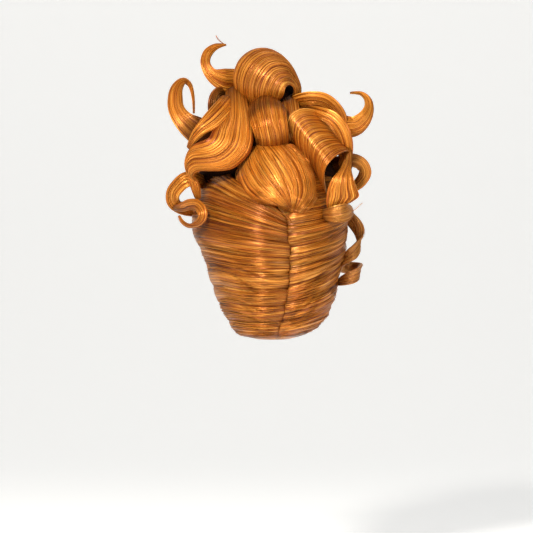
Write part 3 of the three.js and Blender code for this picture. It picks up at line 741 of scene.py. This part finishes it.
# %% Tables of the locks
LOCKS = {
    "left_s_curl": {"bow": 0.14, "steps": 2, "edges": [
        [-46, 63.3, -28, -26, 63.3, -28], [-48, 52.7, -52, -23, 52.7, -48],
        [-51, 43.3, -70, -20, 43.3, -60], [-58, 34.7, -82, -18, 32.5, -70],
        [-61, 30.7, -87, -22, 20.5, -76], [-66, 28.7, -87, -38, 10.5, -78],
        [-72, 27.3, -83, -57, 8.8, -76], [-78, 25.3, -76, -70, 9, -72], [-83, 21, -70, -76, 7, -68],
        [-85, 14, -64, -75.5, 4.5, -64], [-82, 6, -60, -72, 2, -61], [-80, -1, -56, -70, -3, -58],
        [-76, -8, -52, -70, -8.5, -54]]},
    "left_over_ribbon": {"rows": [
        [-42, 56.7, -42, 60, 20], [-49, 49.3, -64, 66, 20], [-58.5, 42, -77, 62, 20],
        [-68.5, 36.2, -81, 42, 20], [-76.5, 30, -79, 24, 15], [-81.5, 24.5, -70, 14, 10]]},
    "right_barrel": {"bow": 0.08, "steps": 2, "edges": [
        [26, 23.3, -42, 56, -12, -50], [18, 30, -54, 53, -5.3, -68], [15, 38, -64, 50.5, 2.7, -84],
        [17, 45.3, -68, 52, 10.7, -93], [26, 50, -65, 59, 16.7, -92], [39, 50, -57, 67, 20.3, -84],
        [53, 44.7, -46, 74, 22, -70], [62, 37.3, -36, 77, 19.3, -54], [64, 29.3, -28, 73, 14, -40]]},
    "right_barrel_tail": {"steps": 2, "edges": [
        [67, 23.3, -60, 78, 26, -54], [69, 18.7, -70, 78.5, 20.7, -62], [69, 14, -76, 77, 14.7, -68],
        [65, 9.3, -82, 77, 9.3, -74], [59, 4.7, -86, 79, 4, -78], [55, -0.7, -86, 82, -2, -78],
        [53, -6.7, -84, 84.5, -7.3, -74], [53, -13.3, -80, 74, -12, -74], [56, -18.7, -74, 63, -16, -72]]},
    "right_over_ribbon": {"rows": [
        [34, 50, -30, 35, 20], [46, 47.3, -55, 40, 30], [58, 44, -62, 45, 40], [67, 37.3, -64, 47, 40],
        [72, 28.7, -60, 43, 40], [73, 20, -50, 37, 40], [69, 14, -36, 30, 30]]},
    "centre_loop": {"bow": 0.28, "rows": [
        [-5.5, 53, -20, 95, 10], [-5.5, 52.5, -40, 112, 10], [-5.5, 50, -58, 122, 10],
        [-4, 45, -70, 122, 10], [-2, 38.5, -76.5, 116, 10], [0, 31.5, -73, 110, 10],
        [0, 26, -58, 105, 10]]},
    "centre_fall": {"rows": [
        [13, 58, -24, 80, 10], [15, 51, -44, 80, 10], [17, 42, -56, 70, 10], [20, 34, -60, 60, 10],
        [22, 26, -52, 50, 10]]},
    "top_curl": {"bow": 0.2, "edges": [
        [7, 56, -30, -34, 56, -20], [9, 57.3, -44, -37, 63.3, -30], [11, 59, -50, -38.5, 73.3, -34],
        [12, 60.7, -53, -32, 84, -34], [12.5, 62.7, -54, -18, 90.7, -30], [13.5, 64.3, -53, -2, 90.3, -28],
        [15.5, 65.7, -50, 11, 83.3, -26], [18.5, 66, -46, 20.5, 73.3, -26],
        [21.5, 64, -42, 25.5, 64.7, -26], [21, 60.7, -36, 24.5, 58.7, -24], [16, 59, -28, 18, 55.7, -20]]},
    "left_flick": {"steps": 2, "rows": [
        [-26, 65, 0, 60, 25], [-36, 70, -10, 80, 30], [-49, 70.7, -18, 76, 35], [-61, 74.7, -20, 42, 35],
        [-66.5, 82, -18, 30, 30], [-64, 88.7, -13, 30, 20], [-56, 93.3, -8, 20, 12],
        [-46, 94.8, -4, 5, 3]]},
    "left_hook": {"steps": 2, "rows": [
        [-42, 26, -22, 45, 30], [-56, 30, -32, 70, 40], [-72, 35.5, -42, 93, 45],
        [-86.5, 42.7, -44, 68, 50], [-94.5, 51.3, -38, 52, 50], [-95.5, 60, -28, 46, 45],
        [-93, 66.7, -18, 33, 35], [-87.5, 70.3, -10, 18, 25], [-81.5, 67.5, -5, 9, 12],
        [-78.5, 59, -3, 6, 5], [-78, 49, -3, 4, 3]]},
    "left_back_curl": {"rows": [
        [-48, 42, -16, 40, 60], [-56, 48, -24, 40, 60], [-57.5, 55, -27, 36, 60], [-54, 61, -22, 34, 60],
        [-46, 62, -14, 34, 55], [-36, 57, -8, 35, 50]]},
    "left_ringlet_outer": {"rows": [
        [-66, 2, -24, 40, 30], [-76, 4.5, -36, 50, 35], [-85, 4, -40, 52, 40], [-92, 0.5, -38, 50, 40],
        [-97.5, -4.5, -32, 48, 40], [-97.5, -10, -24, 46, 40], [-92, -13.5, -16, 42, 35],
        [-84, -15.5, -8, 38, 30], [-76, -16.5, 0, 33, 30]]},
    "left_ringlet_inner": {"steps": 2.5, "rows": [
        [-96, -14, -20, 22, 40], [-88.5, -14, -36, 30, 40], [-81, -12.5, -50, 36, 40],
        [-73.5, -13, -62, 36, 40], [-68.5, -16.5, -70, 33, 35], [-68, -21, -72, 28, 30],
        [-72.5, -24.8, -66, 20, 25], [-81, -26.5, -56, 10, 20], [-88, -24, -48, 7, 15],
        [-92, -20, -44, 4, 10]]},
    "right_upper_curl": {"rows": [
        [12, 52, -12, 45, 30], [23, 55, -28, 50, 40], [36, 56.7, -38, 52, 45], [50, 56, -40, 52, 45],
        [61, 51, -38, 48, 40], [68, 44, -32, 40, 35], [66, 36, -22, 33, 30]]},
    "right_hook": {"steps": 2, "rows": [
        [52, 42, -12, 50, 30], [64, 41, -20, 60, 40], [75, 39.5, -27, 70, 45], [84, 40.5, -30, 62, 45],
        [92, 45.5, -29, 46, 40], [96, 52, -25, 30, 30], [94.5, 58, -20, 20, 20], [88, 61.8, -15, 10, 10],
        [78, 62.2, -10, 4, 4]]},
    "right_small_loop": {"rows": [
        [58, 10, -16, 70, 30], [68, 14, -30, 65, 35], [79, 17, -35, 45, 40], [88.5, 14.5, -34, 40, 40],
        [92, 9, -32, 40, 40], [88, 3.5, -26, 37, 40], [80, -1, -18, 30, 35], [70, -4, -10, 27, 30]]},
    "right_end_roll": {"rows": [
        [50, -20, -72, 35, 20], [58, -19.7, -84, 50, 30], [65, -19, -86, 60, 35], [72, -18, -78, 58, 35],
        [76.5, -16.5, -66, 40, 30]]},
    "right_hanging_ringlet": {"axis": [0.25, 0.1, 1], "steps": 2, "rows": [
        [64, -13, 4, 36, 0], [74, -18, 12, 42, 0], [85, -26, 8, 46, 0], [89, -34, -2, 46, 0],
        [85, -41, -10, 45, 0], [77, -46, -13, 42, 0], [69, -50, -6, 40, 0], [70, -53, 6, 40, 0],
        [80, -54, 12, 42, 0], [88, -55, 3, 45, 0], [86, -58, -10, 45, 0], [76, -61, -15, 42, 0],
        [67, -63, -8, 30, 0], [64, -64, 2, 12, 0]]},
}
for name, place in {"left": -36, "middle": 0, "right": 36}.items():
    LOCKS[f"front_curl_{name}"] = {"axis": [1, -0.006 * place, 0], "bow": 0.1, "steps": 3, "rows": [
        [place, 42, 5, 115, 0], [place, 56, 20, 120, 0], [place, 56, 42, 120, 0], [place, 44, 56, 120, 0],
        [place, 31, 54, 115, 0], [place, 28, 40, 100, 0]]}
print("locks:", len(LOCKS))


# %% The frame of a ribbon along its path
def in_reach(side_rise_depth):
    return side_rise_depth[[0, 2, 1]] * REACH


def flat_on(vector, plane_normal):
    return vector - plane_normal * np.dot(vector, plane_normal)


def ribbon_frames(rows=None, edges=None, axis=None, bow=0.12, steps=2.5):
    """For each station: middle, direction across, direction out, then half width,
    the squeeze of either edge, the bow and the half thickness."""
    table = np.array(rows or edges) / 100
    stations = round((len(table) - 1) * steps) + 1

    def centre(share):
        row = row_at(table, share)[0]
        near = in_reach(row[:3])
        return near if rows else (near + in_reach(row[3:])) / 2

    across, outward, frames = np.zeros(3), 0, []
    for station in range(stations):
        share = station / (stations - 1)
        row = row_at(table, share)[0]
        ahead = unit(centre(share + 0.02) - centre(share))
        behind = unit(centre(share) - centre(share - 0.02))
        along = unit(ahead + behind)
        if edges:
            width = in_reach(row[3:]) - in_reach(row[:3])
        elif axis:
            width = unit(flat_on(np.array(axis, float), along)) * row[3] * RIBBON_WIDTH
        else:
            turned = np.array([along[2], 0, -along[0]])
            turned = -turned if np.dot(turned, across) < 0 else turned
            across = unit(turned + across * 0.25)
            width = across * row[3] + np.array([0, row[4], 0])
            width = flat_on(width, along) * RIBBON_WIDTH
        half = max(np.linalg.norm(width) / 2, 0.0006)
        width = unit(width)
        path = np.linalg.norm(centre(share + 0.01) - centre(share - 0.01))
        bend = 0 if edges else np.dot(ahead - behind, width) / path
        normal = unit(np.cross(width, along))
        outward = outward or (-1 if normal[1] > 0 else 1)
        squeeze = [max(1, 1.2 * half * bend * sign) for sign in (-1, 1)]
        taper = min(1, 0.35 + half / 0.009)
        frames.append([*centre(share), *width, *(normal * outward), half, *squeeze,
                       bow * 2 * half, RIBBON_THICKNESS * taper / 2])
    return np.array(frames)


# %% The surface of a ribbon
def ribbon_surface(frames, face=1):
    """face is 1 for the outer face of the ribbon and -1 for the inner one."""

    def surface(share, across, lift):
        share, across, lift = np.broadcast_arrays(share, across, lift)
        here = row_at(frames, share.ravel()).reshape(*share.shape, -1)
        middle, width, out = here[..., :3], unit(here[..., 3:6]), unit(here[..., 6:9])
        half, thick = here[..., 9], here[..., 13]
        squeeze = np.where(across < 0, here[..., 10], here[..., 11])
        edge = across * half / squeeze
        level = (1 - across**2) * here[..., 12]
        swell = round_over(across) * thick
        return middle + width * edge[..., None] + out * (level + face * (swell + lift))[..., None]

    return surface


# %% Make every lock
LOCK_SIDES = 72
LOCK_STATIONS = 72
LOCK_RIDGES = (0.0004, 0.00025, 0.0002)
BROAD_CREASE = 0.0085
FINE_CREASE = 0.0034
WISP_SPACING = 0.0009
SLIM_WIDTH = 0.02
PAINTED_SHADE_ALONG = {
    # painted shade: how dark a lock is painted at its start, and at the shares of its length that follow,
    # for the shade under other hair and inside its hollows
    "usual": ([0.0, 0.14], [0.75, 0.0]),
    "top_curl": ([0.0, 0.12, 0.3, 0.75, 1.0], [0.5, 0.2, 0.27, 0.3, 0.6]),
    "left_back_curl": ([0.0, 0.5, 1.0], [0.9, 0.6, 0.7]),
    "centre_fall": ([0.0, 0.3, 1.0], [0.8, 0.3, 0.45]),
    "centre_loop": ([0.0, 0.12, 0.22, 0.28, 0.46, 0.55, 0.72, 0.92],
                    [0.75, 0.1, 0.0, 0.6, 0.6, 0.0, 0.05, 0.6]),
    "left_hook": ([0.0, 0.2, 0.34], [0.99, 0.98, 0.0]),
    "right_barrel_tail": ([0.0, 0.2, 0.35], [0.7, 0.4, 0.0]),
    "right_small_loop": ([0.0, 0.27, 0.38], [0.85, 0.75, 0.0]),
    "right_end_roll": ([0.0, 0.25, 0.8, 1.0], [0.6, 0.0, 0.0, 0.4]),
}
STRAYS = {
    # a few hairs that stand off from a lock's end
    "left_flick": [[-56, 101, -5, 5, 2], [-53, 98, -5, 6, 2], [-47, 95, -4, 5, 2]],
    "right_end_roll": [[75, -18, -70, 8, 2], [82, -14.7, -72, 6, 2], [88.5, -11, -70, 3, 2]],
}
TAN_SHARE = {"right_end_roll": 0.35, "right_hanging_ringlet": 0.4, "right_small_loop": 0.15}


def lock_hair(node, seed):
    frames = ribbon_frames(**LOCKS[node])
    outer, inner = ribbon_surface(frames, 1), ribbon_surface(frames, -1)
    places, values = PAINTED_SHADE_ALONG.get(node, PAINTED_SHADE_ALONG["usual"])
    length = np.linalg.norm(np.diff(frames[:, :3], axis=0), axis=1).sum()
    widest = frames[:, 9].max() * 2
    share = np.linspace(0, 1, LOCK_STATIONS)[:, None]
    turn = np.linspace(0, 2 * pi, LOCK_SIDES, endpoint=False)[None, :]
    across = -np.cos(turn)
    front = np.sin(turn) >= 0
    lift, valley, thin = ridges(
        (share * 2.6 + 5, across * widest / BROAD_CREASE + np.where(front, 0, 9)),
        (share * 4, across * widest / FINE_CREASE), (seed, seed + 50), LOCK_RIDGES,
    )
    rounded = round_over(across)
    lift = lift * rounded * min(1, widest / SLIM_WIDTH)
    rings = np.where(front[..., None], outer(share, across, lift), inner(share, across, lift))
    u = share * length + turn * 0
    v = across * widest / 2 + np.where(front, 0, 0.3) + seed * 0.7 + share * 0
    tan = TAN_SHARE.get(node, 0)
    tone = np.full((1, LOCK_STATIONS, LOCK_SIDES, 2), tan, float)
    # Painted shade in the crease valleys and on the inner face, on top of the painted shade along the
    # lock.
    painted_crease_and_back_shade = (0.11 * valley + 0.10 * thin) * rounded + np.where(front, 0, 0.25)
    tone[0, :, :, 0] = np.clip(np.interp(share, places, values) + painted_crease_and_back_shade, 0, 0.97)
    core = straight_bundle(1, LOCK_SIDES, LOCK_STATIONS)
    bend_bundle(core, rings[None], np.stack([u, v], -1)[None], tone)
    # The wisps get the painted shade along the lock.
    root_shade = lambda reach, place: np.stack(
        [np.interp(reach, places, values), np.full_like(reach, tan)], -1
    )
    count = int(np.clip(widest / WISP_SPACING, 10, 46))
    slim = float(np.clip(widest / SLIM_WIDTH, 0.4, 0.85))
    parts = [core]
    for surface, many in ((outer, count), (inner, count // 2)):
        parts.append(wisps(
            surface, tone=root_shade, strands=many, stations=36, width=0.0005 * slim,
            height=0.00035 * slim, lift=0.0009, spread=0.07, u_span=length, seed=seed * 10 + many,
        ))
    if node in STRAYS:
        stray = ribbon_surface(ribbon_frames(rows=STRAYS[node]))
        parts.append(wisps(
            stray, strands=4, stations=16, width=0.00025, height=0.00025, lift=0.0006,
            spread=0.3, u_span=0.02, seed=seed,
        ))
    hand_over_hair(parts, node)


for seed, node in enumerate(LOCKS, 100):
    lock_hair(node, seed)

# %% [markdown]
# ## Front hair
#
# The photographed side doesn't show the front, so the hair there is plain: combed up from the
# hairline over the forehead and the temples, and on over the front half of the pad. It is one
# bundle again, whose strands run from the hairline up. At each height its ring is the wider of
# the head's and the pad's, with a soft change from one to the other.

# %% Tables of the pad and of the hair over it
PAD_TABLE = [
    # height as a share of the pile's, half width and half depth as shares of the reaches
    [-0.1, 0.58, 0.38], [0.0, 0.68, 0.45], [0.09, 0.7, 0.49], [0.18, 0.66, 0.51], [0.3, 0.56, 0.5],
    [0.42, 0.46, 0.45], [0.53, 0.34, 0.33], [0.6, 0.29, 0.27], [0.67, 0.26, 0.21], [0.74, 0.2, 0.16],
]
PAD_MIDDLE = (-0.03, -0.1)  # to the side and in depth, as shares of the reaches
SWEEP_TABLE = [
    # share of the way down to the hem, thickness as a share
    [0.0, 3.2], [0.2, 2.4], [0.45, 1.4], [0.7, 0.6], [0.9, 0.4], [1.03, 0.3],
]
SWEEP_HALF_ANGLE = radians(128)
COVER_HALF_ANGLE = radians(96)
COVER_EDGE = radians(5)
# how far the hair stands off the pad, as shares of its thickness
PILE_COVER = {"side": 0.28, "depth": 1.0, "top": 0.33}
PUFFS = 5.4 * pi
SOFT_CHANGE = 0.014
COVER_TOP = PAD_TABLE[-1][0] * PILE_HEIGHT + PILE_COVER["top"] * FRONT_HAIR_THICKNESS


# %% The face of the front hair
NEARER_STEPS = 16


def sweep_ring(azimuth, height, lift):
    """Points of the combed-up hair over the head. Its thickness hangs on its place, so the
    place at a height is found in small steps."""
    hem = place_of_height(hem_height(azimuth))
    puff = CAP_WALL + 0.0012 * np.cos(azimuth * PUFFS) + lift
    place = place_of_height(height)
    for _ in range(NEARER_STEPS):
        _, thick = row_at_height(SWEEP_TABLE, place / hem)
        grow = puff + FRONT_HAIR_THICKNESS * thick
        dome = np.arccos(np.clip((height + DOME_HEIGHT) / (DOME_HEIGHT + grow), 0, 1))
        nearer = np.where(height > -DOME_HEIGHT, dome / (pi / 2), place_of_height(height))
        place = (place + nearer) / 2
    side, depth, _ = head_section(place, grow)
    return side * np.sin(azimuth), depth * np.cos(azimuth)


def cover_ring(azimuth, height, lift):
    """Points of the same hair where it goes on up over the pad."""
    _, half_width, half_depth = row_at_height(PAD_TABLE, height / PILE_HEIGHT)
    closing = np.sqrt(np.clip((COVER_TOP - height) / SOFT_CHANGE, 0, 1))
    puff = 0.001 * np.cos(azimuth * PUFFS) + lift
    width = half_width * SIDE_REACH + PILE_COVER["side"] * FRONT_HAIR_THICKNESS + puff
    depth = half_depth * DEPTH_REACH + PILE_COVER["depth"] * FRONT_HAIR_THICKNESS + puff
    x = PAD_MIDDLE[0] * SIDE_REACH + width * closing * np.sin(azimuth)
    y = PAD_MIDDLE[1] * DEPTH_REACH + depth * closing * np.cos(azimuth)
    return x, y


def front_face(share, across, lift):
    """share runs from the hairline, 0, up to the top of the pad, 1."""
    share, across, lift = np.broadcast_arrays(share, across, lift)
    azimuth = across * SWEEP_HALF_ANGLE
    hem = hem_height(azimuth)
    height = hem + (COVER_TOP - hem) * share
    over_head = np.array(sweep_ring(azimuth, height, lift))
    over_pad = np.array(cover_ring(azimuth, height, lift))
    outside = np.hypot(*over_pad) - np.hypot(*over_head)
    above = height > PAD_TABLE[0][0] * PILE_HEIGHT
    blend = eased(np.clip(outside / SOFT_CHANGE + 0.5, 0, 1) * above)
    blend = blend * np.clip((COVER_HALF_ANGLE - np.abs(azimuth)) / COVER_EDGE, 0, 1)
    x, y = over_head * (1 - blend) + over_pad * blend
    return np.stack([x, y, height], -1)


# %% Make the front hair
FRONT_RIDGES = (0.0016, 0.0005, 0)
FRONT_STRAND_LENGTH = 0.28


def front_hair():
    stations, strands, inner = 100, 220, 30
    share, across = along_and_across(stations, strands)
    lift, valley, thin = ridges(
        (share * 5, across * 26), (share * 8, across * 70), (301, 303), FRONT_RIDGES
    )
    back = np.linspace(1, -1, inner)[None, :] * SWEEP_HALF_ANGLE
    hem = hem_height(back)
    height = np.minimum(hem + (PAD_TABLE[-1][0] * PILE_HEIGHT - hem) * share, -0.0006)
    under = around_head(back, np.maximum(place_of_height(height), 0.03), CAP_WALL + 0.0006)
    under[0] = front_face(0.0, back[0] / SWEEP_HALF_ANGLE, 0.0)
    # Painted shade in the crease valleys, and 0.6 of it on the inner face.
    core = wide_bundle(
        front_face(share, across, lift), under, (0.35 * valley + 0.25 * thin, 0.6),
        FRONT_STRAND_LENGTH, (-0.2, 0.2), shift=2, open_at=[0, stations - 1],
    )
    loose = wisps(
        front_face, strands=240, stations=36, width=0.0006, height=0.0004,
        lift=0.0012, spread=0.02, u_span=FRONT_STRAND_LENGTH, seed=302,
    )
    hand_over_hair([core, loose], "front_sweep")


front_hair()

# %% [markdown]
# ## Cap and pad
#
# The cap is a thin black net shell that the hair is sewn to, open at the face and the neck. A
# sphere cut in half and fitted to the head's form makes it, and a Solidify modifier gives it
# its thickness. The pad is a stuffed net bag that lifts the pile: a sphere drawn out to the
# pad's own outline, dark enough to be seen only as the black in the gaps between the curls.


# %% Move every vertex of a mesh by a rule
def reshape(mesh, rule):
    points = np.empty(len(mesh.vertices) * 3)
    mesh.vertices.foreach_get("co", points)
    mesh.vertices.foreach_set("co", rule(points.reshape(-1, 3)).ravel())
    mesh.update()


# %% Make the cap
def cap_shell():
    bpy.ops.mesh.primitive_uv_sphere_add(segments=96, ring_count=48)
    cap = bpy.context.object
    edit_mode()
    bpy.ops.mesh.select_all(action="SELECT")
    bpy.ops.mesh.bisect(plane_co=(0, 0, -0.001), plane_no=(0, 0, 1), clear_inner=True)
    object_mode()

    def fit(points):
        azimuth = np.arctan2(points[:, 0], points[:, 1])
        down = np.arccos(np.clip(points[:, 2], 0, 1)) / (pi / 2)
        return around_head(azimuth, down * place_of_height(hem_height(azimuth)), CAP_WALL)

    reshape(cap.data, fit)
    wall = cap.modifiers.new("wall", "SOLIDIFY")
    wall.thickness = CAP_WALL
    wall.offset = -1
    bpy.ops.object.modifier_apply(modifier=wall.name)
    bpy.ops.object.shade_smooth_by_angle(angle=radians(60))
    hand_over(cap, "cap_net", "wig_cap", "black_net")


cap_shell()


# %% Make the pad
def pad_bag():
    bpy.ops.mesh.primitive_uv_sphere_add(segments=64, ring_count=40)
    pad = bpy.context.object

    def fit(points):
        low, high = PAD_TABLE[0][0], PAD_TABLE[-1][0]
        down = np.arccos(np.clip(points[:, 2], -1, 1)) / pi
        height = high + (low - high) * down
        _, half_width, half_depth = row_at_height(PAD_TABLE, height)
        ring = np.hypot(points[:, 0], points[:, 1])
        closing = np.minimum(ring / 0.3, 1)
        turn = np.arctan2(points[:, 1], points[:, 0])
        x = PAD_MIDDLE[0] * SIDE_REACH + half_width * SIDE_REACH * closing * np.cos(turn)
        y = PAD_MIDDLE[1] * DEPTH_REACH + half_depth * DEPTH_REACH * closing * np.sin(turn)
        return np.stack([x, y, height * PILE_HEIGHT], -1)

    reshape(pad.data, fit)
    bpy.ops.object.shade_smooth()
    hand_over(pad, "pad_net", "height_pad", "black_net")


pad_bag()

# %% [markdown]
# ## Stage, light and camera
#
# The floor and the lights are a plain studio: a pale floor that curves up behind, a small key
# light above the camera and left of it, and wide, weak ones from both sides and the top. The
# camera stands level, straight behind the wig, and far off, so there is hardly any perspective.

# %% Floor
FLOOR_HEIGHT = -0.46
FLOOR_SIZE = 12
FLOOR_MIDDLE = -2.5
WALL_HEIGHT = 6
ROUND_EDGE = 1.6


def pale_floor():
    """A floor whose far edge is extruded up into a wall, with a wide round between them."""
    bpy.ops.mesh.primitive_plane_add(size=FLOOR_SIZE, location=(0, FLOOR_MIDDLE, FLOOR_HEIGHT))
    floor = bpy.context.object
    floor.name = "pale_floor"
    bpy.ops.object.transform_apply(location=True)
    mesh = floor.data
    far = [all(mesh.vertices[v].co.y > 1 for v in edge.vertices) for edge in mesh.edges]
    edit_only(mesh, "EDGE", far)
    bpy.ops.mesh.extrude_region_move(TRANSFORM_OT_translate={"value": (0, 0, WALL_HEIGHT)})
    object_mode()
    round_edge = floor.modifiers.new("round", "BEVEL")
    round_edge.width, round_edge.segments = ROUND_EDGE, 24
    bpy.ops.object.modifier_apply(modifier=round_edge.name)
    bpy.ops.object.shade_smooth()
    bench = Bench("pale_floor")
    floor.data.materials.append(bench.finish(
        Base_Color=(0.8, 0.8, 0.79, 1), Roughness=0.95,
        Emission_Color=(1, 1, 0.99, 1), Emission_Strength=0.42,
    ))


pale_floor()


# %% Lights
scene = bpy.context.scene


def soft_light(name, place, size, power, colour):
    light = bpy.data.lights.new(name, "AREA")
    light.shape, light.size, light.energy, light.color = "DISK", size, power, colour
    lamp = bpy.data.objects.new(name, light)
    lamp.location = place
    lamp.rotation_euler = (Vector(MIDDLE) - Vector(place)).to_track_quat("-Z", "Y").to_euler()
    scene.collection.objects.link(lamp)


MIDDLE = (-0.0066, 0, -0.0954)
LIGHTS = {
    # place, size, power, colour
    "key": ((-0.6, -1.75, 0.85), 0.3, 58, (1, 0.97, 0.92)),
    "fill": ((1.5, -1.5, 0.2), 0.9, 17, (1, 1, 1)),
    "left_fill": ((-1.6, 0.1, 0.3), 0.7, 2.5, (1, 0.86, 0.7)),
    "top": ((0.2, -0.5, 1.6), 0.6, 6, (1, 1, 1)),
}
for name, values in LIGHTS.items():
    soft_light(name, *values)
world = bpy.data.worlds.new("studio")
world.use_nodes = True
sky = world.node_tree.nodes["Background"].inputs
sky["Color"].default_value = (1, 1, 1, 1)
sky["Strength"].default_value = 0.15
scene.world = world
scene.view_settings.view_transform = "Standard"
print("lights:", *LIGHTS)

# %% Camera
CAMERA_DISTANCE = 3.5
SEEN_WIDTH = 0.64
camera = bpy.data.cameras.new("camera")
camera.sensor_width = 36
camera.lens = camera.sensor_width * CAMERA_DISTANCE / SEEN_WIDTH
camera_stand = bpy.data.objects.new("camera", camera)
camera_stand.location = (MIDDLE[0], -CAMERA_DISTANCE, MIDDLE[2])
camera_stand.rotation_euler = (pi / 2, 0, 0)
scene.collection.objects.link(camera_stand)
scene.camera = camera_stand
print("lens:", round(camera.lens, 1), "mm")
